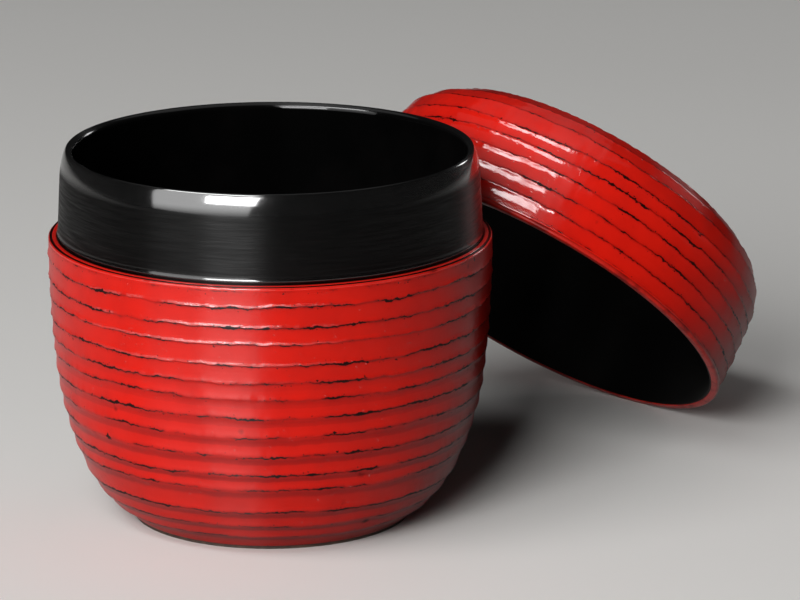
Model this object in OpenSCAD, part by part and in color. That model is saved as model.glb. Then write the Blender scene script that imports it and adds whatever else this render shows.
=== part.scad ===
// Round lacquered tea caddy with its lid taken off and leaning on the neck.
// The body and the lid are turned wood. Both are lined with black lacquer,
// and a ridged coat of red lacquer covers the outside.
// The origin is the centre of the foot, +Z is up and the lid leans along +X.

/* [Body] */
// Outer diameter at the shoulder, where the lid sits
shoulder_d = 70; // [64:0.5:80]
// Height from the table to the shoulder
body_h = 45; // [40:0.5:52]
// Diameter where the side meets the table
base_d = 43.2; // [38:0.2:46]
// Slope of the side at the table, in degrees from level
foot_slope = 30; // [26:1:36]
// Slope where the foot curve passes into the hip curve
hip_slope = 68; // [64:1:70]
// Slope where the hip curve passes into the side curve
side_slope = 84; // [82:0.5:86]
// Radius of the hip curve
hip_radius = 55; // [45:1:65]
// Thickness from the table to the floor inside
floor_t = 4.5; // [3.5:0.1:7]
// Height of the inside's corner curve above the top of the foot curve
inner_corner = 8.5; // [6:0.5:12]
// How far the flat of the floor inside stands in from the foot
floor_in = 5; // [3:0.5:8]

/* [Foot] */
// Width of the ring that the caddy stands on
foot_ring_w = 2.6; // [1.5:0.1:5]
// Depth of the hollow under the base
foot_recess = 0.8; // [0.4:0.1:1.5]
// Height of the lower edge of the red coat above the table
foot_lift = 0.35; // [0.2:0.05:0.8]

/* [Neck] */
// Width of the shoulder's ledge round the neck, which the lid sits on
ledge_w = 1.9; // [1.7:0.1:4]
// Height of the neck above the shoulder
neck_h = 13.6; // [10:0.1:15]
// How much the radius of the neck shrinks up to the rounding of its rim
neck_taper = 0.35; // [0:0.05:0.6]
// Thickness of the neck at its rim
neck_wall = 2.2; // [1.6:0.1:3]
// Height of the rounding outside the rim
rim_round_h = 4.5; // [2:0.1:6]
// Width of the rounding outside the rim
rim_round_w = 1.1; // [0.8:0.05:1.5]
// Radius of the rounding inside the rim
rim_radius = 1; // [0.5:0.05:1.5]
// Depth of the neck ring in the mouth of the body
neck_seat = 6; // [4:0.5:9]

/* [Lid] */
// Height of the lid
lid_h = 24; // [21:0.5:28]
// Slope where the crown passes into the corner, in degrees from level
crown_slope = 6.3; // [5:0.1:9]
// Slope where the corner passes into the side
lid_side_slope = 83.3; // [81:0.1:85]
// Radius of the outer corner of the lid
lid_corner = 9.6; // [8:0.1:11]
// Thickness of the crown
crown_t = 3.2; // [2.5:0.1:5]
// Radius of the inner corner of the lid
lid_inner_corner = 9; // [7:0.5:10]
// Height of the bare lip under the red coat
lip_h = 0.7; // [0.5:0.1:1.2]
// How far the lip stands in from the shoulder
lip_step = 0.1; // [0.05:0.05:0.3]
// Clearance between the lid and the neck
lid_clearance = 0.25; // [0.15:0.05:0.4]

/* [Lacquer] */
// Thickness of the red coat at the lip of a ridge
red_t = 0.5; // [0.4:0.05:0.7]
// Thickness of the black coat
black_t = 0.3; // [0.2:0.05:0.4]
// Distance from one ridge to the next
ridge_pitch = 3.05; // [2.5:0.05:5]
// Height of the lips of the ridges above the grooves between them
ridge_depth = 0.3; // [0.15:0.05:0.35]
// Gap between the neck and the red coat on the shoulder
seat_gap = 0.25; // [0.15:0.05:0.4]
// Width of the red ring beside that gap
seat_ring_w = 0.7; // [0.5:0.05:0.9]
// Width of the groove outside that ring
seat_groove_w = 0.3; // [0.2:0.05:0.4]
// Depth of that groove
seat_groove_depth = 0.25; // [0.1:0.05:0.35]

/* [Place of the lid] */
// Whether the lid leans on the neck or closes the caddy
lid_place = "leaning"; // [leaning, closed]
// Height above the shoulder at which the lip leans on the neck
lean_rise = 2.3; // [1.5:0.1:6]
// Gap between the leaning lip and the neck
lean_gap = 0.4; // [0.3:0.05:0.8]

/* [Hidden] */

$fn = 128;
ridge_steps = 6;
curve_steps = 32;
corner_step = 7.5;
rim_step = 18;

red = "firebrick";
black = [0.06, 0.06, 0.06];
wood = "burlywood";

// A profile is [start, slopes, radii]: three arcs that run into each other without a kink

function total(v, i = 0) = i < len(v) ? v[i] + total(v, i + 1) : 0;
function reversed(v) = [for (i = [len(v) - 1 : -1 : 0]) v[i]];
function arc_run(radius, from, to) = radius * (sin(to) - sin(from));
function arc_rise(radius, from, to) = radius * (cos(from) - cos(to));
function arc_length(radius, from, to) = radius * (to - from) * PI / 180;

// The middle radius is given, and the other two arcs take up the run and the rise
function arc_radii(run, rise, slopes, middle) =
    let (
        run_left = run - arc_run(middle, slopes[1], slopes[2]),
        rise_left = rise - arc_rise(middle, slopes[1], slopes[2]),
        first_run = arc_run(1, slopes[0], slopes[1]),
        first_rise = arc_rise(1, slopes[0], slopes[1]),
        last_run = arc_run(1, slopes[2], slopes[3]),
        last_rise = arc_rise(1, slopes[2], slopes[3]),
        determinant = first_run * last_rise - last_run * first_rise
    )
    [
        (run_left * last_rise - last_run * rise_left) / determinant,
        middle,
        (first_run * rise_left - first_rise * run_left) / determinant
    ];

function profile(start, run, rise, slopes, middle) =
    [start, slopes, arc_radii(run, rise, slopes, middle)];

function profile_length(p) = total([for (i = [0 : 2]) arc_length(p[2][i], p[1][i], p[1][i + 1])]);

// Slope of the profile at a length along it
function slope_at(p, along, i = 0) =
    let (arc = arc_length(p[2][i], p[1][i], p[1][i + 1]))
    along <= arc || i == 2
        ? p[1][i] + along / arc * (p[1][i + 1] - p[1][i])
        : slope_at(p, along - arc, i + 1);

// Point at a length along the profile, set in from it at right angles
function profile_point(p, along, inset) =
    let (
        slope = slope_at(p, along),
        last = slope <= p[1][1] ? 0 : slope <= p[1][2] ? 1 : 2,
        ends = [for (i = [0 : last]) i < last ? p[1][i + 1] : slope],
        run = total([for (i = [0 : last]) arc_run(p[2][i], p[1][i], ends[i])]),
        rise = total([for (i = [0 : last]) arc_rise(p[2][i], p[1][i], ends[i])])
    )
    p[0] + [run - inset * sin(slope), rise + inset * cos(slope)];

function smooth_line(p, from, to, inset) =
    [for (i = [0 : curve_steps]) profile_point(p, from + (to - from) * i / curve_steps, inset)];

// Ridges of equal width between two lengths, each with its lip on the side away from the mouth.
// The line begins in the groove behind a lip, or on the lip itself where first is 1.
function ridged_line(p, from, to, first = 0) =
    let (
        count = round((to - from) / ridge_pitch),
        step = (to - from) / (count * ridge_steps - first)
    )
    [
        for (i = [first : count * ridge_steps])
            let (
                behind = i % ridge_steps,
                swell = behind > 0 ? (ridge_steps - behind) / (ridge_steps - 1) : 0
            )
            profile_point(p, from + (i - first) * step, ridge_depth * (1 - swell * swell))
    ];

shoulder_r = shoulder_d / 2;
base_r = base_d / 2;
neck_d = shoulder_d - 2 * ledge_w;
neck_r = neck_d / 2;
neck_top_r = neck_r - neck_taper;
neck_cone_h = neck_h - rim_round_h;
mouth_r = neck_top_r - neck_wall;
rim_w = min(rim_round_w, neck_wall / 2);
rim_r = min(rim_radius, neck_wall / 2);
rim_z = body_h + neck_h;
core_top_z = body_h - red_t;
neck_foot_z = body_h - neck_seat;

body_slopes = [foot_slope, hip_slope, side_slope, 90];
body_profile = profile([base_r, 0], shoulder_r - base_r, body_h, body_slopes, hip_radius);
body_end = profile_length(body_profile);
foot_radius = body_profile[2][0];
foot_rise = arc_rise(foot_radius, foot_slope, hip_slope);
inside_corner_z = foot_rise + inner_corner;
coat_slope = acos(cos(foot_slope) - foot_lift / foot_radius);
coat_start = arc_length(foot_radius, foot_slope, coat_slope);
body_core_line = smooth_line(body_profile, coat_start, body_end - red_t, red_t);
foot_r = body_core_line[0].x;
recess_r = foot_r - foot_ring_w;

lid_slopes = [0, crown_slope, lid_side_slope, 90];
lid_profile = profile([0, 0], shoulder_r, lid_h, lid_slopes, lid_corner);
lid_end = profile_length(lid_profile) - lip_h;
lip_r = shoulder_r - lip_step;
lid_mouth_r = neck_r + lid_clearance;
ceiling_z = lid_h - crown_t;

lean_z = body_h + lean_rise;
lean = asin(lean_z / (2 * lip_r));
lean_neck_r = neck_r - neck_taper * lean_rise / neck_cone_h;
lid_x = lean_neck_r + lean_gap + lip_r * cos(lean);

// The lid's profile is worked out from its crown, and stands on its lip here
function from_lip(points) = [for (p = points) [p.x, lid_h - p.y]];

// The neck from the shoulder up its outside, over the rim and down to the inside
function neck_line(inset) =
    let (
        outer_z = rim_z - rim_round_h,
        inner_z = rim_z - rim_r,
        outer_w = rim_w - inset,
        outer_h = rim_round_h - inset,
        r = rim_r - inset
    )
    concat(
        [[neck_r - inset, core_top_z], [neck_r - inset, body_h]],
        [
            for (a = [0 : rim_step : 90])
                [neck_top_r - rim_w + outer_w * cos(a), outer_z + outer_h * sin(a)]
        ],
        [for (a = [90 : rim_step : 180]) [mouth_r + rim_r + r * cos(a), inner_z + r * sin(a)]]
    );

// The inside of the body from the wall to the middle of the floor
function body_inside(inset) =
    let (
        flat_r = base_r - floor_in,
        w = mouth_r - flat_r + inset,
        h = inside_corner_z - floor_t + inset
    )
    concat(
        [for (a = [0 : corner_step : 90]) [flat_r + w * cos(a), inside_corner_z - h * sin(a)]],
        [[0, floor_t - inset]]
    );

// The inside of the lid from its lip to the middle of its ceiling
function lid_inside(inset) =
    let (
        z = ceiling_z - lid_inner_corner,
        middle_r = lid_mouth_r - neck_taper * z / neck_cone_h - lid_inner_corner,
        r = lid_inner_corner + inset
    )
    concat(
        [[lid_mouth_r + inset, 0]],
        [for (a = [0 : corner_step : 90]) [middle_r + r * cos(a), z + r * sin(a)]],
        [[0, ceiling_z + inset]]
    );

module place_lid() {
    if (lid_place == "closed")
        translate([0, 0, body_h]) children();
    else
        translate([lid_x, 0, lean_z / 2]) rotate([0, lean, 0]) children();
}

// Turned wooden cup with a standing ring below and a rebate for the neck in its mouth
module body_core() {
    base_z = foot_recess + black_t;
    color(wood) rotate_extrude() polygon(concat(
        [[0, base_z], [recess_r, base_z], [recess_r, 0], [foot_r, 0]],
        body_core_line,
        [
            [neck_r - black_t, core_top_z],
            [neck_r - black_t, neck_foot_z],
            [mouth_r + black_t, neck_foot_z]
        ],
        body_inside(black_t)
    ));
}

// Turned wooden ring, let into the mouth of the body, that the lid slips over
module neck_ring() {
    color(wood) rotate_extrude() polygon(concat(
        [[neck_r - black_t, neck_foot_z]],
        neck_line(black_t),
        [[mouth_r + black_t, neck_foot_z]]
    ));
}

// Ridged red lacquer from the foot to the shoulder, turned in over the seat of the lid
module body_red_coat() {
    ring_out_r = neck_r + seat_gap + seat_ring_w;
    groove_z = body_h - seat_groove_depth;
    color(red) rotate_extrude() polygon(concat(
        ridged_line(body_profile, coat_start, body_end),
        [
            [ring_out_r + seat_groove_w, body_h],
            [ring_out_r + seat_groove_w, groove_z],
            [ring_out_r, groove_z],
            [ring_out_r, body_h],
            [neck_r + seat_gap, body_h],
            [neck_r + seat_gap, core_top_z]
        ],
        reversed(body_core_line)
    ));
}

// Black lacquer over the floor and the wall inside, the rim and the outside of the neck
module body_black_coat() {
    color(black) rotate_extrude() polygon(concat(
        neck_line(0),
        body_inside(0),
        reversed(body_inside(black_t)),
        reversed(neck_line(black_t))
    ));
}

// Black lacquer in the hollow under the base
module base_black_coat() {
    color(black) translate([0, 0, foot_recess]) cylinder(r = recess_r, h = black_t);
}

// Turned wooden lid; its lip is the only part that no thick coat covers
module lid_core() {
    color(red) place_lid() rotate_extrude() polygon(concat(
        from_lip(smooth_line(lid_profile, 0, lid_end, red_t)),
        [[lip_r, lip_h], [lip_r, 0]],
        lid_inside(black_t)
    ));
}

// Ridged red lacquer from the lip to the middle of the crown
module lid_red_coat() {
    color(red) place_lid() rotate_extrude() polygon(from_lip(concat(
        ridged_line(lid_profile, 0, lid_end, first = 1),
        reversed(smooth_line(lid_profile, 0, lid_end, red_t))
    )));
}

// Black lacquer inside the lid
module lid_black_coat() {
    color(black) place_lid() rotate_extrude() polygon(concat(
        lid_inside(0),
        reversed(lid_inside(black_t))
    ));
}

body_core();
neck_ring();
body_red_coat();
body_black_coat();
base_black_coat();
lid_core();
lid_red_coat();
lid_black_coat();
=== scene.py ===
import math

import bpy
import numpy as np
from mathutils import Matrix, Vector


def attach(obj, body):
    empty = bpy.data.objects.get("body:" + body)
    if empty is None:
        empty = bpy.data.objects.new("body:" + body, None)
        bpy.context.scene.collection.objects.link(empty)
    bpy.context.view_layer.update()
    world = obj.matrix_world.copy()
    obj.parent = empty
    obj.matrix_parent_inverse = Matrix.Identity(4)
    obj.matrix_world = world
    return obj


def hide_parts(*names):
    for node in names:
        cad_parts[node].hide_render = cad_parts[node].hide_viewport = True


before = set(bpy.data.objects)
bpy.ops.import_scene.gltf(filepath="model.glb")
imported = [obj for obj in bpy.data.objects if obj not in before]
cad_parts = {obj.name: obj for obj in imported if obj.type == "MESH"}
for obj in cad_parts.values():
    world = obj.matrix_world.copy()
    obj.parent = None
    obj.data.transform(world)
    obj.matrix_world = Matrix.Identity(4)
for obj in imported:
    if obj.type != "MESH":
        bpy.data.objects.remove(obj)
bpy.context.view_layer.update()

# The red coat of the body: thick vermilion lacquer over a black ground, on a turned wooden cup.
# It was worked by hand in bands from the mouth outwards. Each band swells to a ragged lip on its
# far side, and the black ground shows through below that lip in broken lines and specks.
MM = 0.001
ON_AXIS = 1e-6
shoulder_r = 35.0
body_h = 45.0
base_r = 21.6
body_slopes = (30, 68, 84, 90)
hip_radius = 55.0
red_t = 0.5
foot_lift = 0.35

# Places of the black lines, measured down the side from the shoulder
body_lines = (
    3.15, 6.26, 9.04, 12.37, 15.16, 17.78, 20.81,
    23.96, 27.2, 30.58, 33.39, 37.84, 41.16, 44.34,
)

# How much of the black ground each line shows, from 0 to 1
body_ground = (0.55, 0.7, 0.4, 0.6, 0.6, 0.55, 0.9, 0.35, 0.5, 0.6, 0.25, 1.0, 0.1, 0.1)

# The bands turn from sharp lips to soft waves between these two lines
first_soft_line, full_soft_line = 4, 9

# Rows of a band: distances from the line before it, shares of its width, distances from its own line
rows_after_line = (0.1, 0.25, 0.55)
rows_between = (0.36, 0.55)
rows_before_line = (0.95, 0.62, 0.38, 0.22, 0.1, 0.0)
coat_columns = 460
under_steps = 12
band_inset = 0.38
sharp_fall, soft_fall = 0.07, 0.7
sharp_flare, soft_flare = 0.24, 0.8
line_shift = 0.06
far_from_lines = 9.0

neck_r = 33.1
seat_gap = 0.25
seat_ring_w = 0.7
seat_groove_w = 0.3
seat_groove_depth = 0.25
shoulder_edge = 0.25
shoulder_bevel = 0.3
seat_edge = 0.16
groove_edge = 0.06
worn_bevel = 0.2


def turned_profile(start, run, rise, slopes, middle_radius):
    """Three arcs that run into each other without a kink, as a function of the length along them."""
    slope = np.radians(slopes)
    runs = np.diff(np.sin(slope))
    rises = -np.diff(np.cos(slope))
    left = (run - middle_radius * runs[1], rise - middle_radius * rises[1])
    first, last = np.linalg.solve([[runs[0], runs[2]], [rises[0], rises[2]]], left)
    radii = np.array([first, middle_radius, last])
    ends = np.concatenate(([0], np.cumsum(radii * np.diff(slope))))

    def at(along):
        angle = np.interp(along, ends, slope)
        r, z = start
        for i in range(3):
            reached = np.clip(angle, slope[i], slope[i + 1])
            r = r + radii[i] * (np.sin(reached) - np.sin(slope[i]))
            z = z + radii[i] * (np.cos(slope[i]) - np.cos(reached))
        return r, z, angle

    return at, ends[-1]


def rounded_line(corners, step_degrees=22.5):
    """A line through corners given as r, z and the radius that rounds each of them off."""
    points = [corners[0][:2]]
    for before, (r, z, radius), after in zip(corners, corners[1:], corners[2:]):
        corner = np.array((r, z))
        way_in = np.array(before[:2]) - corner
        way_out = np.array(after[:2]) - corner
        way_in = way_in / np.hypot(*way_in)
        way_out = way_out / np.hypot(*way_out)
        half = math.acos(np.clip(way_in @ way_out, -1, 1)) / 2
        turn = math.pi - 2 * half
        inwards = (way_in + way_out) / np.hypot(*(way_in + way_out))
        middle = corner + inwards * radius / math.sin(half)
        steps = max(2, round(math.degrees(turn) / step_degrees) + 1)
        side = np.sign(way_in[0] * way_out[1] - way_in[1] * way_out[0])
        begin = corner + way_in * radius / math.tan(half) - middle
        for k in range(steps):
            a = -side * turn * k / (steps - 1)
            points.append((
                middle[0] + begin[0] * math.cos(a) - begin[1] * math.sin(a),
                middle[1] + begin[0] * math.sin(a) + begin[1] * math.cos(a),
            ))
    points.append(corners[-1][:2])
    return np.array(points)


def lathe(name, rows, columns, place=Matrix.Identity(4)):
    """A turned mesh through rows of r and z in mm, joined end to end; a row on the axis is one point."""
    rows = np.asarray(rows, float)
    following = np.roll(rows, -1, axis=0)
    single = rows[:, 0] < ON_AXIS
    angle = np.arange(columns) * 2 * math.pi / columns
    points, first = [], []
    for (r, z), one_point in zip(rows, single):
        first.append(len(points))
        if one_point:
            points.append((0, 0, z))
        else:
            points.extend(zip(r * np.cos(angle), r * np.sin(angle), np.full(columns, z)))
    length = np.concatenate(([0], np.cumsum(np.hypot(*(following - rows).T))))
    faces, corners = [], []
    for k in range(len(rows)):
        m = (k + 1) % len(rows)
        v0, v1 = length[k], length[k + 1]
        for j in range(0 if single[k] and single[m] else columns):
            i = (j + 1) % columns
            u0, u1 = j / columns, (j + 1) / columns
            if single[k]:
                faces.append((first[k], first[m] + i, first[m] + j))
                corners += [(u0, v0), (u1, v1), (u0, v1)]
            elif single[m]:
                faces.append((first[k] + j, first[k] + i, first[m]))
                corners += [(u0, v0), (u1, v0), (u0, v1)]
            else:
                faces.append((first[k] + j, first[k] + i, first[m] + i, first[m] + j))
                corners += [(u0, v0), (u1, v0), (u1, v1), (u0, v1)]
    mesh = bpy.data.meshes.new(name)
    mesh.from_pydata(np.array(points) * MM, [], faces)
    mesh.uv_layers.new(name="turned").data.foreach_set("uv", np.array(corners, np.float32).ravel())
    if np.sum(rows[:, 0] * following[:, 1] - following[:, 0] * rows[:, 1]) < 0:
        mesh.flip_normals()
    mesh.transform(place)
    mesh.shade_smooth()
    piece = bpy.data.objects.new(name, mesh)
    bpy.context.scene.collection.objects.link(piece)
    return piece


def band_rows(start, lines, end):
    """The rows of all bands: length from the mouth, band, distances from its lines, and which are real."""
    edges = (start, *lines, end)
    rows = []
    for band, (near, far) in enumerate(zip(edges, edges[1:])):
        lengths = [near + gap for gap in rows_after_line]
        lengths += [near + share * (far - near) for share in rows_between]
        lengths += [far - gap for gap in rows_before_line]
        for length in lengths:
            rows.append((length, band, length - near, far - length, band > 0, band < len(lines)))
    columns = ("length", "band", "above", "below", "near_line", "far_line")
    return dict(zip(columns, np.array(rows, float).T))


def shape_of_lines(rows, first_soft, full_soft):
    """Adds how soft a row's two lines are, how fast the lip falls behind one and flares to the other."""
    near_soft = np.clip((rows["band"] - first_soft) / (full_soft - first_soft), 0, 1)
    far_soft = np.clip((rows["band"] + 1 - first_soft) / (full_soft - first_soft), 0, 1)
    fall = sharp_fall + (soft_fall - sharp_fall) * near_soft
    flare = sharp_flare + (soft_flare - sharp_flare) * far_soft
    return {**rows, "fall": fall, "flare": flare, "near_soft": near_soft, "far_soft": far_soft}


def around(r_part, z_part):
    """Vectors that lean out by r_part and up by z_part, for every row and column."""
    angle = np.arange(coat_columns) * 2 * math.pi / coat_columns
    r_part, z_part = np.asarray(r_part)[:, None], np.asarray(z_part)[:, None]
    return np.stack((r_part * np.cos(angle), r_part * np.sin(angle), z_part + 0 * angle), axis=2)


def add_node(tree, kind, sockets=None, **settings):
    """A node with its settings, and with its sockets linked or set."""
    made = tree.nodes.new(kind)
    for key, value in settings.items():
        setattr(made, key, value)
    for key, value in (sockets or {}).items():
        if isinstance(value, bpy.types.NodeSocket):
            tree.links.new(value, made.inputs[key])
        else:
            made.inputs[key].default_value = value
    return made


def calc(tree, operation, *values, clamp=False):
    """The result of a Math node."""
    sockets = dict(enumerate(values))
    return add_node(tree, "ShaderNodeMath", sockets, operation=operation, use_clamp=clamp).outputs[0]


def times(tree, first, *others):
    """The product of values."""
    for other in others:
        first = calc(tree, "MULTIPLY", first, other)
    return first


def plus(tree, first, *others):
    """The sum of values."""
    for other in others:
        first = calc(tree, "ADD", first, other)
    return first


def largest(tree, first, *others):
    """The largest of values."""
    for other in others:
        first = calc(tree, "MAXIMUM", first, other)
    return first


def without(tree, value):
    """What a share leaves of 1."""
    return calc(tree, "SUBTRACT", 1.0, value)


def falling(tree, distance, rate):
    """A share that falls from 1 with the distance, by a rate for each mm."""
    return calc(tree, "EXPONENT", times(tree, distance, -rate))


def ramp(tree, value, start, full):
    """A smooth step from 0 at start to 1 at full."""
    sockets = {"Value": value, "From Min": start, "From Max": full}
    return add_node(tree, "ShaderNodeMapRange", sockets, interpolation_type="SMOOTHSTEP").outputs["Result"]


def noise(tree, spot, waves, detail=2.0, roughness=0.5):
    """Soft noise around 0.5, with a number of waves for each mm."""
    sockets = {"Vector": spot, "Scale": waves, "Detail": detail, "Roughness": roughness}
    return add_node(tree, "ShaderNodeTexNoise", sockets).outputs[0]


def hand_ridges():
    """Geometry nodes that draw the turned bands out to wandering, ragged lips."""
    line_apart, layer_apart = 17.3, 531.7
    slow_share, quick_share = 2.4, 2.0
    least_thick, more_thick = 0.45, 0.75
    least_bead, more_bead = 0.35, 0.9
    least_reach = 0.3
    lip_lost_when_soft = 0.9
    roll_share, roll_width = 0.4, 0.14
    soft_crest_width = 0.9
    sharp_step, more_soft_step = 0.6, 0.4

    tree = bpy.data.node_groups.new("hand_ridges", "GeometryNodeTree")
    sockets = tree.interface
    sockets.new_socket("Geometry", in_out="INPUT", socket_type="NodeSocketGeometry")
    for name in ("Swell height", "Soft swell", "Lip height", "Wander", "Seed"):
        sockets.new_socket(name, in_out="INPUT", socket_type="NodeSocketFloat")
    sockets.new_socket("Material", in_out="INPUT", socket_type="NodeSocketMaterial")
    sockets.new_socket("Geometry", in_out="OUTPUT", socket_type="NodeSocketGeometry")
    given = tree.nodes.new("NodeGroupInput").outputs

    def stored(name, kind="FLOAT"):
        read = add_node(tree, "GeometryNodeInputNamedAttribute", {"Name": name}, data_type=kind)
        return read.outputs["Attribute"]

    band, above, below = stored("band"), stored("above"), stored("below")
    near_line, far_line = stored("near_line"), stored("far_line")
    out, away = stored("out", "FLOAT_VECTOR"), stored("away", "FLOAT_VECTOR")
    near_turn, far_turn = stored("near_turn", "FLOAT_VECTOR"), stored("far_turn", "FLOAT_VECTOR")
    fall, flare = stored("fall"), stored("flare")
    near_soft, far_soft = stored("near_soft"), stored("far_soft")

    def along_line(line, turn, layer):
        """Where a column meets a line, with room between the lines for noise of its own."""
        apart = times(tree, plus(tree, line, given["Seed"]), line_apart)
        apart = plus(tree, apart, layer * layer_apart)
        lift = add_node(tree, "ShaderNodeCombineXYZ", {"Z": apart}).outputs[0]
        return add_node(tree, "ShaderNodeVectorMath", {0: turn, 1: lift}, operation="ADD").outputs[0]

    def wander(line, turn):
        """How far a line strays from its place."""
        slow = noise(tree, along_line(line, turn, 1), waves=0.07, detail=1.0)
        quick = noise(tree, along_line(line, turn, 2), waves=0.45, detail=3.0, roughness=0.65)
        both = plus(tree, times(tree, slow, slow_share), times(tree, quick, quick_share))
        return times(tree, calc(tree, "SUBTRACT", both, (slow_share + quick_share) / 2), given["Wander"])

    def lip(line, turn, real):
        """How thick the lip of a line is, from 0 to 1."""
        reach = noise(tree, along_line(line, turn, 3), waves=0.06, detail=1.0)
        reach = ramp(tree, reach, start=0.3, full=0.6)
        thick = noise(tree, along_line(line, turn, 4), waves=0.3)
        thick = plus(tree, times(tree, thick, more_thick), least_thick)
        ragged = noise(tree, along_line(line, turn, 5), waves=0.8, roughness=0.6)
        beads = plus(tree, times(tree, ramp(tree, ragged, start=0.32, full=0.68), more_bead), least_bead)
        size = times(tree, thick, beads, plus(tree, reach, least_reach))
        return times(tree, calc(tree, "MINIMUM", size, 1.0), real)

    def lip_height(soft):
        """The height of a full lip, which is lower on a soft line."""
        return times(tree, given["Lip height"], without(tree, times(tree, soft, lip_lost_when_soft)))

    def swell(line, turn, soft):
        """The height to which the band itself rises."""
        uneven = noise(tree, along_line(line, turn, 6), waves=0.05, detail=1.0)
        uneven = ramp(tree, uneven, start=0.15, full=0.6)
        return plus(tree, times(tree, uneven, given["Swell height"]), times(tree, soft, given["Soft swell"]))

    def bell(distance, width):
        """A round hill over a line."""
        ratio = calc(tree, "DIVIDE", distance, width)
        return falling(tree, times(tree, ratio, ratio), rate=1.0)

    near_band = calc(tree, "SUBTRACT", band, 1.0)
    near_lip, far_lip = lip(near_band, near_turn, near_line), lip(band, far_turn, far_line)
    share = calc(tree, "DIVIDE", above, plus(tree, above, below))
    near_shift = times(tree, wander(near_band, near_turn), near_line, without(tree, share))
    far_shift = times(tree, wander(band, far_turn), far_line, share)
    shift = plus(tree, near_shift, far_shift)

    near_edge = times(tree, near_lip, lip_height(near_soft))
    near_edge = plus(tree, swell(near_band, near_turn, near_soft), near_edge)
    far_edge = times(tree, far_lip, lip_height(far_soft))
    rising = calc(tree, "EXPONENT", calc(tree, "DIVIDE", below, times(tree, flare, -1.0)))
    sharp = without(tree, far_soft)
    rolled = without(tree, times(tree, bell(below, roll_width), sharp, roll_share))
    crest = plus(
        tree,
        times(tree, sharp, share, share),
        times(tree, far_soft, bell(below, soft_crest_width)),
    )
    before = times(tree, swell(band, far_turn, far_soft), crest)
    before = plus(tree, before, times(tree, far_edge, rising))
    step = plus(tree, times(tree, near_soft, more_soft_step), sharp_step)
    behind = times(tree, near_edge, near_line, bell(above, fall), step)
    height = plus(tree, times(tree, before, rolled), behind)

    def moved(direction, distance):
        way = {0: direction, "Scale": times(tree, distance, MM)}
        return add_node(tree, "ShaderNodeVectorMath", way, operation="SCALE").outputs[0]

    offset = {0: moved(out, height), 1: moved(away, shift)}
    offset = add_node(tree, "ShaderNodeVectorMath", offset, operation="ADD").outputs[0]
    shaped = add_node(tree, "GeometryNodeSetPosition", {"Geometry": given["Geometry"], "Offset": offset})
    nearer = calc(tree, "LESS_THAN", below, above)
    lip_here = plus(tree, times(tree, nearer, far_lip), times(tree, without(tree, nearer), near_lip))
    kept = {"Geometry": shaped.outputs[0], "Name": "lip", "Value": lip_here}
    kept = add_node(tree, "GeometryNodeStoreNamedAttribute", kept, data_type="FLOAT", domain="POINT")
    real = add_node(tree, "GeometryNodeRealizeInstances", {"Geometry": kept.outputs[0]})
    dressed = {"Geometry": real.outputs[0], "Material": given["Material"]}
    dressed = add_node(tree, "GeometryNodeSetMaterial", dressed)
    tree.links.new(dressed.outputs[0], tree.nodes.new("NodeGroupOutput").inputs[0])
    return tree


ridges = hand_ridges()


def work_ridges(coat, values, rows, line_r, ground, out, away, bare):
    """Gives a turned coat the attributes of its bands, works the ridges and leaves a plain mesh."""
    band = rows["band"].astype(int)
    rest = len(coat.data.vertices) - len(band) * coat_columns
    before_line = rows["below"] < rows["above"]
    from_line = np.where(before_line, rows["below"] + line_shift, np.abs(rows["above"] - line_shift))
    numbers = {
        **rows,
        "from_line": from_line,
        "line_side": np.where(before_line, -1.0, 1.0),
        "ground": np.array((0, *ground, 0))[band + before_line],
    }
    del numbers["length"]

    # Off the bands the lines are far away, so that nothing is drawn out or black there
    elsewhere = dict.fromkeys(("above", "below", "from_line"), far_from_lines)
    elsewhere.update(fall=1.0, flare=1.0)
    for name, column in numbers.items():
        flat = np.concatenate((np.repeat(column, coat_columns), np.full(rest, elsewhere.get(name, 0.0))))
        coat.data.attributes.new(name, "FLOAT", "POINT").data.foreach_set("value", flat.astype(np.float32))
    level = np.zeros(len(band))
    vectors = {
        "out": out,
        "away": away,
        "near_turn": around(line_r[band], level),
        "far_turn": around(line_r[band + 1], level),
    }
    for name, grid in vectors.items():
        flat = np.concatenate((grid.reshape(-1, 3), np.zeros((rest, 3)))).astype(np.float32).ravel()
        coat.data.attributes.new(name, "FLOAT_VECTOR", "POINT").data.foreach_set("vector", flat)
    coat.data.attributes.new("bare", "FLOAT", "POINT").data.foreach_set("value", bare.astype(np.float32))
    worked = coat.modifiers.new("ridges", "NODES")
    worked.node_group = ridges
    for item in ridges.interface.items_tree:
        if item.in_out == "INPUT" and item.name in values:
            worked[item.identifier] = values[item.name]
    depsgraph = bpy.context.evaluated_depsgraph_get()
    shaped = coat.evaluated_get(depsgraph)
    plain = bpy.data.meshes.new_from_object(shaped, preserve_all_data_layers=True, depsgraph=depsgraph)
    coat.modifiers.clear()
    coat.data = plain


def object_mm(tree):
    """Object coordinates in millimetres."""
    place = add_node(tree, "ShaderNodeTexCoord").outputs["Object"]
    return add_node(tree, "ShaderNodeVectorMath", {0: place, "Scale": 1 / MM}, operation="SCALE").outputs[0]


def surface_value(tree, name):
    """A number that the piece's mesh carries."""
    return add_node(tree, "ShaderNodeAttribute", attribute_name=name).outputs["Fac"]


def centred(tree, value, amount):
    """Noise around 0 in place of 0.5, by an amount."""
    return times(tree, calc(tree, "SUBTRACT", value, 0.5), amount)


def mixed(tree, factor, a, b):
    """A mix of two colours."""
    return add_node(tree, "ShaderNodeMix", {0: factor, 6: a, 7: b}, data_type="RGBA").outputs[2]


def bumped(tree, height, depth, strength=1.0):
    """A normal bent by a height, with the depth in mm."""
    sockets = {"Strength": strength, "Distance": depth * MM, "Height": height}
    return add_node(tree, "ShaderNodeBump", sockets).outputs[0]


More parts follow.
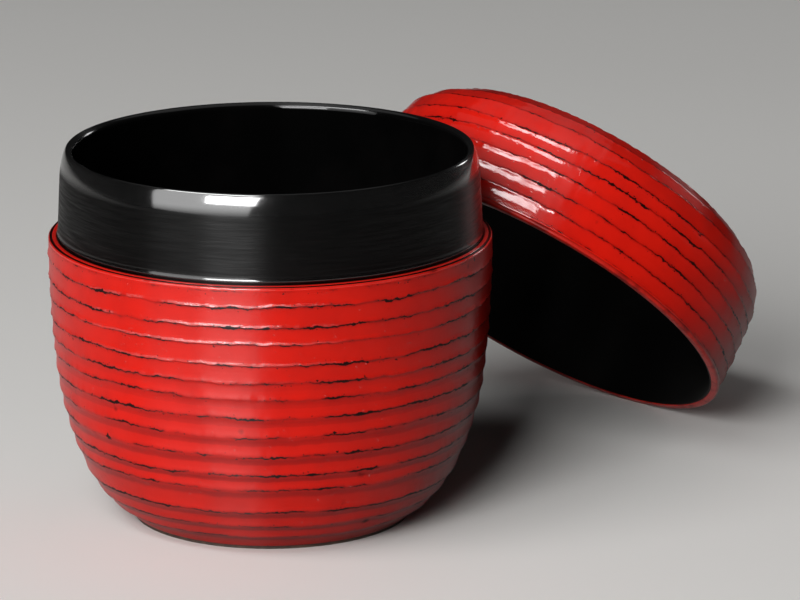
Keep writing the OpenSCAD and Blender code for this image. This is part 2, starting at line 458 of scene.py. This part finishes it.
def new_material(name):
    """An empty material with a Principled shader."""
    material = bpy.data.materials.new(name)
    material.use_nodes = True
    tree = material.node_tree
    return material, tree, tree.nodes["Principled BSDF"]


def turning_lines():
    """Fine lines left by polishing on the lathe, as a height from 0 to 1."""
    group = bpy.data.node_groups.new("turning_lines", "ShaderNodeTree")
    for name in ("Lines per mm", "Length in mm"):
        group.interface.new_socket(name, in_out="INPUT", socket_type="NodeSocketFloat")
    group.interface.new_socket("Height", in_out="OUTPUT", socket_type="NodeSocketFloat")
    given = group.nodes.new("NodeGroupInput").outputs
    uv = add_node(group, "ShaderNodeUVMap", uv_map="turned").outputs[0]
    parts = add_node(group, "ShaderNodeSeparateXYZ", {0: uv}).outputs
    turn = times(group, parts[0], 2 * math.pi)
    reach = calc(group, "DIVIDE", shoulder_r, given["Length in mm"])
    across = times(group, parts[1], given["Lines per mm"])
    x = times(group, calc(group, "COSINE", turn), reach)
    y = times(group, calc(group, "SINE", turn), reach)
    spot = add_node(group, "ShaderNodeCombineXYZ", {0: x, 1: y, 2: across}).outputs[0]
    height = noise(group, spot, waves=1.0, detail=3.0, roughness=0.6)
    group.links.new(height, group.nodes.new("NodeGroupOutput").inputs[0])
    return group


lathe_lines = turning_lines()


def grain_height(tree, lines, length):
    """The turning lines at a given fineness, in lines per mm and mm along them."""
    sockets = {"Lines per mm": lines, "Length in mm": length}
    return add_node(tree, "ShaderNodeGroup", sockets, node_tree=lathe_lines).outputs[0]


def along_turning(tree, shader, upright):
    """Stretches the highlights across the turning lines, which run level on an upright piece."""
    if upright:
        tangent = add_node(tree, "ShaderNodeTangent", direction_type="RADIAL", axis="Z")
    else:
        tangent = add_node(tree, "ShaderNodeTangent", direction_type="UV_MAP", uv_map="turned")
    tree.links.new(tangent.outputs[0], shader.inputs["Tangent"])
    shader.inputs["Anisotropic"].default_value = 1.0
    shader.inputs["Anisotropic Rotation"].default_value = 0.25


def red_lacquer(name, upright, sheen, texture, bead_height, run_side=None, polish_z=None):
    """Vermilion lacquer over a black ground that shows along the lines.

    The lips are glossy on run_side, where the lacquer ran, and the whole coat is from polish_z up.
    """
    material, tree, shader = new_material(name)
    bright_red = (0.63, 0.010, 0.004, 1)
    deep_red = (0.34, 0.004, 0.003, 1)
    dark_red = (0.08, 0.003, 0.003, 1)
    black_ground = (0.008, 0.002, 0.002, 1)
    spot = object_mm(tree)
    gap, side = surface_value(tree, "from_line"), surface_value(tree, "line_side")
    lip, ground = surface_value(tree, "lip"), surface_value(tree, "ground")
    region = noise(tree, spot, waves=0.09, detail=1.0)
    dash = noise(tree, spot, waves=0.32)
    jag = noise(tree, spot, waves=1.1)
    grit = noise(tree, spot, waves=2.6, detail=3.0, roughness=0.65)

    # Broken black lines, wider in some dashes and regions than in others
    line_w = 0.15
    jag_w, grit_w, line_grit_w = 0.8, 0.4, 0.2
    dash_strength, unbroken_from = 1.25, 1.75
    lip_strength = 0.2
    wobble = plus(tree, centred(tree, jag, jag_w), centred(tree, grit, grit_w))
    from_line = calc(tree, "ABSOLUTE", plus(tree, gap, times(tree, wobble, side)))
    strength = plus(tree, ramp(tree, dash, start=0.35, full=0.65), ramp(tree, region, start=0.32, full=0.6))
    strength = times(tree, strength, dash_strength)
    strength = calc(tree, "SUBTRACT", strength, calc(tree, "SUBTRACT", unbroken_from, ground))
    width = times(tree, plus(tree, strength, times(tree, lip, lip_strength)), line_w)
    line = plus(tree, calc(tree, "SUBTRACT", width, from_line), centred(tree, grit, line_grit_w))
    line = ramp(tree, line, start=-0.04, full=0.03)

    # Pits and flakes near the lines, a black line along the seat's groove, and edges worn bare
    pits_per_mm, pit_growth = 1.7, 0.4
    line_crowd, region_crowd = 0.5, 0.12
    near_line = without(tree, ramp(tree, gap, start=0.35, full=1.1))
    cell = add_node(tree, "ShaderNodeTexVoronoi", {"Vector": spot, "Scale": pits_per_mm}).outputs
    chance = add_node(tree, "ShaderNodeSeparateColor", {0: cell["Color"]}).outputs
    crowd = plus(
        tree,
        times(tree, near_line, line_crowd),
        times(tree, ramp(tree, region, start=0.4, full=0.7), region_crowd),
    )
    pit_size = times(tree, calc(tree, "SUBTRACT", plus(tree, chance[0], crowd), 1.0), pit_growth)
    pits = ramp(tree, calc(tree, "SUBTRACT", pit_size, cell["Distance"]), start=-0.03, full=0.03)
    line_flakes = 0.12
    flakes = noise(tree, spot, waves=0.7, detail=3.0, roughness=0.6)
    flakes = plus(tree, flakes, times(tree, near_line, line_flakes))
    flakes = times(tree, ramp(tree, flakes, start=0.80, full=0.82), near_line)
    worn_raggedness = 1.5
    groove_and_worn_black = plus(tree, surface_value(tree, "bare"), centred(tree, dash, worn_raggedness))
    groove_and_worn_black = ramp(tree, groove_and_worn_black, start=0.3, full=0.6)
    black = largest(tree, line, pits, flakes, groove_and_worn_black)

    # Reds: deeper where the coat is mottled or thin at a line, and painted shade on the slope that falls
    # away behind a soft line
    mottle_depth, thin_depth, valley_shade_depth = 0.25, 0.4, 0.6
    halo_depth = 0.85
    mottle = ramp(tree, noise(tree, spot, waves=0.18, detail=3.0), start=0.35, full=0.75)
    thin = falling(tree, gap, rate=3.0)
    behind_line = ramp(tree, side, start=-0.5, full=0.5)
    # Painted shade: darker red on the down-facing slope behind each soft line, where the waves turn away
    # from the light
    painted_valley_shade = ramp(tree, gap, start=0.2, full=0.7)
    painted_valley_shade = calc(tree, "SUBTRACT", painted_valley_shade, ramp(tree, gap, start=1.1, full=1.8))
    painted_valley_shade = times(tree, painted_valley_shade, behind_line, surface_value(tree, "near_soft"))
    depth = plus(tree, times(tree, mottle, mottle_depth), times(tree, thin, thin_depth))
    depth = calc(tree, "ADD", depth, times(tree, painted_valley_shade, valley_shade_depth), clamp=True)
    halo = ramp(tree, strength, start=-0.7, full=0.3)
    halo = times(tree, falling(tree, from_line, rate=7.0), halo, halo_depth)
    red = mixed(tree, halo, mixed(tree, depth, bright_red, deep_red), dark_red)
    tree.links.new(mixed(tree, black, red, black_ground), shader.inputs["Base Color"])

    # The skin of the coat: half matt, grainy at the lines and turned on the lathe
    coat_rough, dash_rough, ground_rough = 0.35, 0.08, 0.2
    peel_share, turned_share, ground_share = 0.3, 0.25, 0.5
    least_crumbs, line_crumbs = 0.1, 0.8
    rough = plus(tree, centred(tree, dash, dash_rough), coat_rough, times(tree, black, ground_rough))
    tree.links.new(rough, shader.inputs["Roughness"])
    peel = noise(tree, spot, waves=0.9, detail=3.0, roughness=0.6)
    crumbs = times(tree, grit, plus(tree, times(tree, near_line, line_crumbs), least_crumbs))
    skin = plus(tree, times(tree, peel, peel_share), crumbs)
    skin = calc(tree, "SUBTRACT", skin, times(tree, black, ground_share))
    height = plus(tree, skin, times(tree, grain_height(tree, lines=3.0, length=9.0), turned_share))
    tree.links.new(bumped(tree, height, depth=0.08, strength=texture), shader.inputs["Normal"])
    along_turning(tree, shader, upright)

    # Gloss: on drops, on the seat and edges off the bands, and where the lacquer ran or was polished
    drop_from, drop_growth, drop_gloss = 0.82, 1.6, 0.8
    edge_gloss = 0.7
    drop_size = times(tree, calc(tree, "SUBTRACT", chance[1], drop_from), drop_growth)
    drops = ramp(tree, calc(tree, "SUBTRACT", drop_size, cell["Distance"]), start=-0.08, full=0.12)
    shine = times(tree, drops, drop_gloss)
    z = add_node(tree, "ShaderNodeSeparateXYZ", {0: spot}).outputs[2]
    if run_side:
        lip_band = ramp(tree, gap, start=0.06, full=0.14)
        lip_band = calc(tree, "SUBTRACT", lip_band, ramp(tree, gap, start=0.36, full=0.6))
        run = add_node(tree, "ShaderNodeVectorMath", {0: spot, 1: run_side}, operation="DOT_PRODUCT")
        run = ramp(tree, run.outputs["Value"], start=0.72 * shoulder_r, full=0.92 * shoulder_r)
        thick_lip = ramp(tree, lip, start=0.2, full=0.5)
        upper_side = ramp(tree, z, start=28.0, full=36.0)
        on_lip = times(tree, thick_lip, lip_band, without(tree, behind_line), run, upper_side)
        shine = largest(tree, shine, on_lip)
    if polish_z:
        polish_h = 6.0
        least_rubbed = 0.5
        rubbed = ramp(tree, noise(tree, spot, waves=0.4, detail=3.0), start=0.3, full=0.6)
        rubbed = plus(tree, times(tree, rubbed, 1 - least_rubbed), least_rubbed)
        polish = times(tree, ramp(tree, z, start=polish_z - polish_h, full=polish_z + polish_h), rubbed)
        shine = calc(tree, "ADD", polish, shine, clamp=True)
    off_bands = ramp(tree, gap, start=4.0, full=8.0)
    shine = largest(tree, shine, times(tree, off_bands, edge_gloss))
    tree.links.new(times(tree, shine, without(tree, black)), shader.inputs["Coat Weight"])
    tree.links.new(bumped(tree, plus(tree, skin, drops), depth=bead_height), shader.inputs["Coat Normal"])
    shader.inputs["Coat Roughness"].default_value = 0.06
    shader.inputs["Coat IOR"].default_value = 1.9
    shader.inputs["Specular IOR Level"].default_value = sheen
    return material


body_red = red_lacquer(
    "body_red_lacquer", upright=True, sheen=0.3, texture=0.4, bead_height=0.12, run_side=(-0.885, -0.465, 0),
)

body_at, body_length = turned_profile((base_r, 0), shoulder_r - base_r, body_h, body_slopes, hip_radius)

# The coat ends a little above the table, and its length is measured from there
near_foot = np.linspace(0, 2, 200)
coat_start = np.interp(foot_lift, body_at(near_foot)[1], near_foot)
coat_length = body_length - coat_start

body_rows = band_rows(shoulder_bevel + shoulder_edge, body_lines, coat_length)
body_rows = shape_of_lines(body_rows, first_soft_line, full_soft_line)
body_line_r = body_at(body_length - np.array((0, *body_lines, coat_length)))[0]
r, z, slope = body_at(body_length - body_rows["length"])
body_side = np.column_stack((r - band_inset * np.sin(slope), z + band_inset * np.cos(slope)))
body_out = around(np.sin(slope), -np.cos(slope))
body_away = around(-np.cos(slope), -np.sin(slope))

r, z, slope = body_at(np.linspace(coat_start, body_length - red_t, under_steps))
body_under = np.column_stack((r - red_t * np.sin(slope), z + red_t * np.cos(slope)))

edge_r = shoulder_r - band_inset
core_top_z = body_h - red_t
ring_in_r = neck_r + seat_gap
ring_out_r = ring_in_r + seat_ring_w
groove_out_r = ring_out_r + seat_groove_w
groove_z = body_h - seat_groove_depth
bevel_low_z = body_h - shoulder_bevel - shoulder_edge
seat = rounded_line([
    (ring_in_r, core_top_z, 0),
    (ring_in_r, body_h, seat_edge),
    (ring_out_r, body_h, seat_edge),
    (ring_out_r, groove_z, groove_edge),
    (groove_out_r, groove_z, groove_edge),
    (groove_out_r, body_h - shoulder_bevel / 3, groove_edge),
    (edge_r, body_h - shoulder_bevel, shoulder_edge / 2),
    (edge_r, bevel_low_z, 0),
])
body_coat = lathe("body_red_lacquer", np.concatenate((body_side, body_under, seat[:-1])), coat_columns)

spots = np.empty(len(body_coat.data.vertices) * 3)
body_coat.data.vertices.foreach_get("co", spots)
spots = spots.reshape(-1, 3) / MM
spot_r, spot_z = np.hypot(spots[:, 0], spots[:, 1]), spots[:, 2]
# The groove in the seat is drawn black all round; the shoulder's bevel shows the black ground in patches
in_groove = (spot_z > groove_z - groove_edge) & (spot_z < body_h - groove_edge)
in_groove &= (spot_r > ring_in_r + seat_edge) & (spot_r < groove_out_r + groove_edge)
on_bevel = (spot_z > bevel_low_z) & (spot_r > groove_out_r - groove_edge)
black_groove_and_worn_edges = np.where(in_groove, 1.0, np.where(on_bevel, worn_bevel, 0.0))

body_values = {
    "Swell height": 0.06,
    "Soft swell": 0.16,
    "Lip height": 0.31,
    "Wander": 0.42,
    "Seed": 3.0,
    "Material": body_red,
}
work_ridges(
    body_coat, body_values, body_rows, body_line_r, body_ground, body_out, body_away, black_groove_and_worn_edges,
)
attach(body_coat, "body")
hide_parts("body_red_coat")

# The black coat of the body: black lacquer over the neck, its rim and the whole inside, rubbed down
# on the lathe and polished at the rim, the foot of the neck and the inside. The neck is slightly
# conical and rounded off towards its rim, so that the lid finds its way on.
neck_h = 13.6
neck_taper = 0.35
neck_wall = 2.2
rim_round_h = 4.5
rim_round_w = 1.1
rim_inner_r = 1.0
rim_fullness = 1.5
rim_polish_h = 3.7
rim_polish_fade = 1.8
black_t = 0.3
floor_t = 4.5
floor_flat_r = 16.6
inside_corner_z = 18.48
flare_w = 0.26
flare_h = 1.3
flare_foot = 0.5
flare_end = 255
neck_columns = 256
arc_steps = 18

rim_z = body_h + neck_h
neck_top_r = neck_r - neck_taper
mouth_r = neck_top_r - neck_wall
flare_z = body_h + flare_foot


def ellipse_arc(centre, radii, start, end, fullness=2.0):
    """Points on part of an ellipse, in degrees; with less than a fullness of 2 it flattens to a bevel."""
    a = np.radians(np.linspace(start, end, arc_steps))
    across = np.sign(np.cos(a)) * np.abs(np.cos(a)) ** (2 / fullness)
    up = np.sign(np.sin(a)) * np.abs(np.sin(a)) ** (2 / fullness)
    return np.column_stack((centre[0] + radii[0] * across, centre[1] + radii[1] * up))


def black_shell(inset):
    """From the middle of the floor up the inside and over the rim to the top of the neck's cone."""
    corner = (floor_flat_r, inside_corner_z)
    corner_radii = (mouth_r - floor_flat_r + inset, inside_corner_z - floor_t + inset)
    inner = (mouth_r + rim_inner_r, rim_z - rim_inner_r)
    outer = (neck_top_r - rim_round_w, rim_z - rim_round_h)
    return np.concatenate((
        [(0, floor_t - inset)],
        ellipse_arc(corner, corner_radii, -90, 0),
        ellipse_arc(inner, (rim_inner_r - inset, rim_inner_r - inset), 180, 90),
        ellipse_arc(outer, (rim_round_w - inset, rim_round_h - inset), 90, 0, rim_fullness),
    ))


neck_foot = ellipse_arc((neck_r + flare_w, flare_z + flare_h), (flare_w, flare_h), 180, flare_end)
foot_end = [(neck_r, neck_foot[-1][1] - flare_w), (neck_r, core_top_z), (neck_r - black_t, core_top_z)]
black_rows = np.concatenate((black_shell(0.0), neck_foot, foot_end, black_shell(black_t)[::-1]))


def clouded_black():
    """The deep black of the lacquer, slightly lighter in soft clouds."""
    group = bpy.data.node_groups.new("clouded_black", "ShaderNodeTree")
    group.interface.new_socket("Clouds per mm", in_out="INPUT", socket_type="NodeSocketFloat")
    group.interface.new_socket("Color", in_out="OUTPUT", socket_type="NodeSocketColor")
    deep_black = (0.001, 0.001, 0.001, 1)
    soft_black = (0.002, 0.0018, 0.0018, 1)
    clouds_per_mm = group.nodes.new("NodeGroupInput").outputs[0]
    cloud = ramp(group, noise(group, object_mm(group), clouds_per_mm, detail=3.0), start=0.4, full=0.7)
    black = mixed(group, cloud, deep_black, soft_black)
    group.links.new(black, group.nodes.new("NodeGroupOutput").inputs[0])
    return group


black_clouds = clouded_black()


def black_lacquer(name):
    """A material in the black of the lacquer, with highlights across the turning lines."""
    material, tree, shader = new_material(name)
    clouds = add_node(tree, "ShaderNodeGroup", {"Clouds per mm": 0.08}, node_tree=black_clouds)
    tree.links.new(clouds.outputs[0], shader.inputs["Base Color"])
    along_turning(tree, shader, upright=False)
    shader.inputs["Specular IOR Level"].default_value = 0.2
    return material, tree, shader


def neck_lacquer():
    """Black lacquer with turning lines, polished inside, at the rim and at the foot of the neck."""
    material, tree, shader = black_lacquer("neck_black_lacquer")
    rim_edge = 0.4
    inside_smoothness = 0.97
    neck_rough, inside_rough, line_rough = 0.2, 0.06, 0.55
    foot_gloss, foot_full_z, foot_end_z = 0.5, flare_z + 0.2, flare_z + 0.8
    parts = add_node(tree, "ShaderNodeSeparateXYZ", {0: object_mm(tree)}).outputs
    x, y, z = parts[0], parts[1], parts[2]
    from_axis = calc(tree, "SQRT", plus(tree, times(tree, x, x), times(tree, y, y)))
    outside = ramp(tree, from_axis, start=mouth_r, full=mouth_r + rim_edge)
    inside = without(tree, outside)
    lines = grain_height(tree, lines=2.6, length=8.0)
    lines = times(tree, lines, without(tree, times(tree, inside, inside_smoothness)))
    rough = plus(tree, times(tree, inside, inside_rough - neck_rough), neck_rough)
    rough = plus(tree, rough, times(tree, lines, line_rough))
    tree.links.new(rough, shader.inputs["Roughness"])
    tree.links.new(bumped(tree, lines, depth=0.12, strength=0.6), shader.inputs["Normal"])
    polish_z = rim_z - rim_polish_h
    upper = ramp(tree, z, start=polish_z, full=polish_z + rim_polish_fade)
    foot = times(tree, without(tree, ramp(tree, z, start=foot_full_z, full=foot_end_z)), foot_gloss)
    tree.links.new(times(tree, largest(tree, upper, foot), outside), shader.inputs["Coat Weight"])
    shader.inputs["Coat Roughness"].default_value = 0.09
    shader.inputs["Coat IOR"].default_value = 2.4
    return material


neck_coat = lathe("body_black_lacquer", black_rows, neck_columns)
neck_coat.data.materials.append(neck_lacquer())
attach(neck_coat, "body")
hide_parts("body_black_coat")

# The wooden parts of the body: the turned cup and the ring let into its mouth as a neck.
# Lacquer covers them, and only the standing ring under the foot shows, sealed dark.


def sealed_wood():
    """Close-grained turned wood under a thin dark seal."""
    material, tree, shader = new_material("sealed_wood")
    dark_grain = (0.022, 0.012, 0.008, 1)
    light_grain = (0.060, 0.034, 0.021, 1)
    fibre_stretch = (0.25, 2.2, 2.2)
    wood_rough, grain_rough = 0.4, 0.2
    fibres = {"Vector": object_mm(tree), "Scale": fibre_stretch}
    fibres = add_node(tree, "ShaderNodeMapping", fibres).outputs[0]
    grain = noise(tree, fibres, waves=0.5, detail=4.0, roughness=0.6)
    wood = mixed(tree, ramp(tree, grain, start=0.35, full=0.65), dark_grain, light_grain)
    tree.links.new(wood, shader.inputs["Base Color"])
    tree.links.new(plus(tree, times(tree, grain, grain_rough), wood_rough), shader.inputs["Roughness"])
    tree.links.new(bumped(tree, grain, depth=0.03, strength=0.3), shader.inputs["Normal"])
    return material


dark_wood = sealed_wood()
for name in ("body_core", "neck_ring"):
    wooden_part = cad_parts[name]
    wooden_part.data.materials.clear()
    wooden_part.data.materials.append(dark_wood)

# The black coat of the base: a thin disc of black lacquer in the hollow under the foot.
# It was brushed straight on to the wood, without the polish of the neck.
base_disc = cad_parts["base_black_coat"]


def brushed_black():
    """Black lacquer brushed on, without the polish of the neck."""
    material, tree, shader = new_material("brushed_black")
    fresh_black = (0.005, 0.005, 0.0055, 1)
    worn_black = (0.018, 0.015, 0.014, 1)
    brushed_rough, stroke_rough = 0.25, 0.3
    strokes = noise(tree, object_mm(tree), waves=0.3, detail=4.0, roughness=0.6)
    black = mixed(tree, ramp(tree, strokes, start=0.45, full=0.75), fresh_black, worn_black)
    tree.links.new(black, shader.inputs["Base Color"])
    tree.links.new(plus(tree, times(tree, strokes, stroke_rough), brushed_rough), shader.inputs["Roughness"])
    return material


base_disc.data.materials.clear()
base_disc.data.materials.append(brushed_black())

# The red coat of the lid: the same hand-worked lacquer, with its bands running from the lip
# over the corner to the middle of the crown. The lid leans on the neck with its lip on the table.
lid_h = 24.0
lid_slopes = (0, 6.3, 83.3, 90)
lid_corner = 9.6
lip_h = 0.7
lip_step = 0.1
lean_rise = 2.3
lean_gap = 0.4
coat_edge = 0.2
lid_under_steps = 24

# Places of the black lines, measured up from the lip; the crown's are spaced like the rest
lid_lines = (
    3.0, 5.95, 8.9, 11.6, 14.05, 17.4, 20.4, 23.5,
    26.4, 29.4, 32.5, 35.5, 38.6, 41.6, 44.7, 47.8,
)
lid_ground = (0.6,) * len(lid_lines)
no_soft_line = len(lid_lines) + 1

lip_r = shoulder_r - lip_step
lean_z = body_h + lean_rise
lean = math.asin(lean_z / (2 * lip_r))
lean_neck_r = neck_r - neck_taper * lean_rise / (neck_h - rim_round_h)
lid_x = lean_neck_r + lean_gap + lip_r * math.cos(lean)
lid_place = Matrix.Translation((lid_x * MM, 0, lean_z / 2 * MM)) @ Matrix.Rotation(lean, 4, "Y")

lid_at, lid_length = turned_profile((0, 0), shoulder_r, lid_h, lid_slopes, lid_corner)
lid_coat_length = lid_length - lip_h
lid_rows = band_rows(coat_edge, lid_lines, lid_coat_length)
lid_rows = shape_of_lines(lid_rows, no_soft_line, no_soft_line + 1)

# The last row would lie on the axis, where a single point closes the crown
lid_rows = {name: column[:-1] for name, column in lid_rows.items()}
lid_line_r = lid_at(lid_coat_length - np.array((0, *lid_lines, lid_coat_length)))[0]
r, depth, slope = lid_at(lid_coat_length - lid_rows["length"])
lid_side = np.column_stack((r - band_inset * np.sin(slope), lid_h - depth - band_inset * np.cos(slope)))
lid_turn = np.array(lid_place.to_3x3()).T
lid_out = around(np.sin(slope), np.cos(slope)) @ lid_turn
lid_away = around(-np.cos(slope), np.sin(slope)) @ lid_turn

r, depth, slope = lid_at(np.linspace(0, lid_coat_length, lid_under_steps))
lid_under = np.column_stack((r - red_t * np.sin(slope), lid_h - depth - red_t * np.cos(slope)))
lower_edge = rounded_line([
    (*lid_under[-1], 0),
    (edge_r, lip_h, coat_edge / 2),
    (edge_r, lip_h + coat_edge, 0),
])[1:-1]
lid_coat_rows = np.concatenate((lid_side, [(0, lid_h - band_inset)], lid_under, lower_edge))
lid_coat = lathe("lid_red_lacquer", lid_coat_rows, coat_columns, lid_place)

lid_red = red_lacquer(
    "lid_red_lacquer", upright=False, sheen=0.15, texture=0.3, bead_height=0.018, polish_z=42.0,
)
lid_values = {
    "Swell height": 0.2,
    "Soft swell": 0.0,
    "Lip height": 0.26,
    "Wander": 0.4,
    "Seed": 41.0,
    "Material": lid_red,
}
no_worn_edges = np.zeros(len(lid_coat.data.vertices))
work_ridges(
    lid_coat, lid_values, lid_rows, lid_line_r, lid_ground, lid_out, lid_away, no_worn_edges,
)
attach(lid_coat, "lid")
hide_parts("lid_red_coat")

# The turned wood of the lid: only its lip shows, a narrow ring below the thick coat that was
# rubbed with thin red lacquer and rounded where it sits on the shoulder.
lid_clearance = 0.25
crown_t = 3.2
lid_inner_corner = 9.0
lip_outer_edge = 0.35
lip_inner_edge = 0.12
lid_columns = 256

lid_mouth_r = neck_r + lid_clearance
ceiling_z = lid_h - crown_t
inner_corner_z = ceiling_z - lid_inner_corner
inner_corner_r = lid_mouth_r - neck_taper * inner_corner_z / (neck_h - rim_round_h) - lid_inner_corner


def lid_inside(inset):
    """From the wall of the lid over its inner corner to the middle of its ceiling."""
    corner_r = lid_inner_corner + inset
    corner = ellipse_arc((inner_corner_r, inner_corner_z), (corner_r, corner_r), 0, 90)
    return np.concatenate((corner, [(0, ceiling_z + inset)]))


wooden_lip = rounded_line([
    (lip_r, lip_h, 0),
    (lip_r, 0, lip_outer_edge),
    (lid_mouth_r + black_t, 0, lip_inner_edge),
    (lid_mouth_r + black_t, lip_h, 0),
])


def rubbed_red():
    """Thin red lacquer rubbed into the wood of the lip."""
    material, tree, shader = new_material("rubbed_red")
    fresh_red = (0.50, 0.014, 0.008, 1)
    worn_red = (0.22, 0.006, 0.004, 1)
    lip_rough, worn_rough = 0.28, 0.12
    spot = object_mm(tree)
    wear = ramp(tree, noise(tree, spot, waves=0.35, detail=4.0, roughness=0.6), start=0.4, full=0.7)
    tree.links.new(mixed(tree, wear, fresh_red, worn_red), shader.inputs["Base Color"])
    tree.links.new(plus(tree, times(tree, wear, worn_rough), lip_rough), shader.inputs["Roughness"])
    pores = noise(tree, spot, waves=1.5)
    tree.links.new(bumped(tree, pores, depth=0.03, strength=0.3), shader.inputs["Normal"])
    shader.inputs["Specular IOR Level"].default_value = 0.2
    return material


lid_core_rows = np.concatenate((lid_under, wooden_lip, lid_inside(black_t)))
lid_core = lathe("lid_wood", lid_core_rows, lid_columns, lid_place)
lid_core.data.materials.append(rubbed_red())
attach(lid_core, "lid")
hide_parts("lid_core")

# The black lining of the lid: black lacquer on the wood, from the lip to the middle of the ceiling.
# It has the black of the neck, but was left dull after it was rubbed down.
lining_rows = np.concatenate((
    [(lid_mouth_r, lip_inner_edge)],
    lid_inside(0.0),
    lid_inside(black_t)[::-1],
    [(lid_mouth_r + black_t, lip_inner_edge)],
))


def dull_lacquer():
    """Black lacquer rubbed down on the lathe and left dull."""
    material, tree, shader = black_lacquer("lining_black_lacquer")
    lining_rough, line_rough = 0.65, 0.02
    lines = grain_height(tree, lines=2.6, length=8.0)
    tree.links.new(plus(tree, times(tree, lines, line_rough), lining_rough), shader.inputs["Roughness"])
    return material


lid_lining = lathe("lid_black_lacquer", lining_rows, lid_columns, lid_place)
lid_lining.data.materials.append(dull_lacquer())
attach(lid_lining, "lid")
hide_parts("lid_black_coat")

# The view: through a long lens from a little above the caddy, with the lid to the right of the body
# and behind it. The place was found from the ellipses of the rim, the shoulder, the foot and the lip.
camera_place = Vector((-0.5238, -0.5507, 0.2360))
camera_turn = math.radians(45.09)
camera_pitch = 0.26
camera_lens = 225.8
look = Vector((
    math.sin(camera_turn) * math.cos(camera_pitch),
    math.cos(camera_turn) * math.cos(camera_pitch),
    -math.sin(camera_pitch),
))
camera_data = bpy.data.cameras.new("camera")
camera_data.lens = camera_lens
camera = bpy.data.objects.new("camera", camera_data)
camera.matrix_world = Matrix.Translation(camera_place) @ look.to_track_quat("-Z", "Y").to_matrix().to_4x4()
bpy.context.scene.collection.objects.link(camera)
bpy.context.scene.camera = camera

# The floor: plain, pale and matt. It gives little of its light back to the caddy, so that the
# colours stay as they are, but the gloss of the lacquer shows it as it is.
floor_half = 3.0
light_grey = (0.74, 0.73, 0.71, 1)
warm_grey = (0.71, 0.70, 0.68, 1)
bounce_grey = (0.07, 0.07, 0.07, 1)
floor_corners = [(x * floor_half, y * floor_half, 0) for x, y in ((-1, -1), (1, -1), (1, 1), (-1, 1))]
floor_mesh = bpy.data.meshes.new("floor")
floor_mesh.from_pydata(floor_corners, [], [(0, 1, 2, 3)])
floor = bpy.data.objects.new("floor", floor_mesh)
bpy.context.scene.collection.objects.link(floor)
pale, tree, shader = new_material("pale_floor")
plain = mixed(tree, noise(tree, object_mm(tree), waves=0.004), light_grey, warm_grey)
ray = add_node(tree, "ShaderNodeLightPath").outputs
seen = largest(tree, ray["Is Camera Ray"], ray["Is Glossy Ray"], ray["Is Transmission Ray"])
tree.links.new(mixed(tree, seen, bounce_grey, plain), shader.inputs["Base Color"])
shader.inputs["Roughness"].default_value = 0.8
shader.inputs["Specular IOR Level"].default_value = 0.1
floor_mesh.materials.append(pale)

# The light: a large softbox in front on the left, a brighter patch in it nearer the camera and a
# strip above it. A small one behind on the right draws the lid's edge, and a dim one hangs overhead.
caddy_middle = Vector((0.02, 0, 0.03))
room_grey = (0.012, 0.012, 0.012, 1)
to_camera = Vector((-look.x, -look.y, 0)).normalized()
to_left = Vector((to_camera.y, -to_camera.x, 0))


def softbox(name, left, up, distance, width, height, watts):
    """A rectangular light turned to the caddy, at angles left of the camera and above the floor."""
    level = to_camera * math.cos(math.radians(left)) + to_left * math.sin(math.radians(left))
    direction = level * math.cos(math.radians(up)) + Vector((0, 0, math.sin(math.radians(up))))
    data = bpy.data.lights.new(name, "AREA")
    data.shape = "RECTANGLE"
    data.size, data.size_y = width, height
    data.energy = watts
    light = bpy.data.objects.new(name, data)
    turn = (-direction).to_track_quat("-Z", "Y").to_matrix().to_4x4()
    light.matrix_world = Matrix.Translation(caddy_middle + direction * distance) @ turn
    light.visible_camera = False
    bpy.context.scene.collection.objects.link(light)


softbox("key_softbox", left=37, up=23, distance=1.24, width=1.30, height=0.95, watts=7.3)
softbox("key_top", left=40, up=52, distance=1.25, width=1.0, height=0.26, watts=5.5)
softbox("key_centre", left=20.5, up=25, distance=1.22, width=0.56, height=0.42, watts=11.0)
softbox("back_softbox", left=-140, up=18, distance=0.8, width=0.12, height=0.16, watts=0.3)
softbox("overhead_softbox", left=160, up=80, distance=1.6, width=2.4, height=2.0, watts=1.4)

room = bpy.data.worlds.new("room")
room.use_nodes = True
room.node_tree.nodes["Background"].inputs["Color"].default_value = room_grey
bpy.context.scene.world = room
bpy.context.scene.view_settings.view_transform = "Standard"
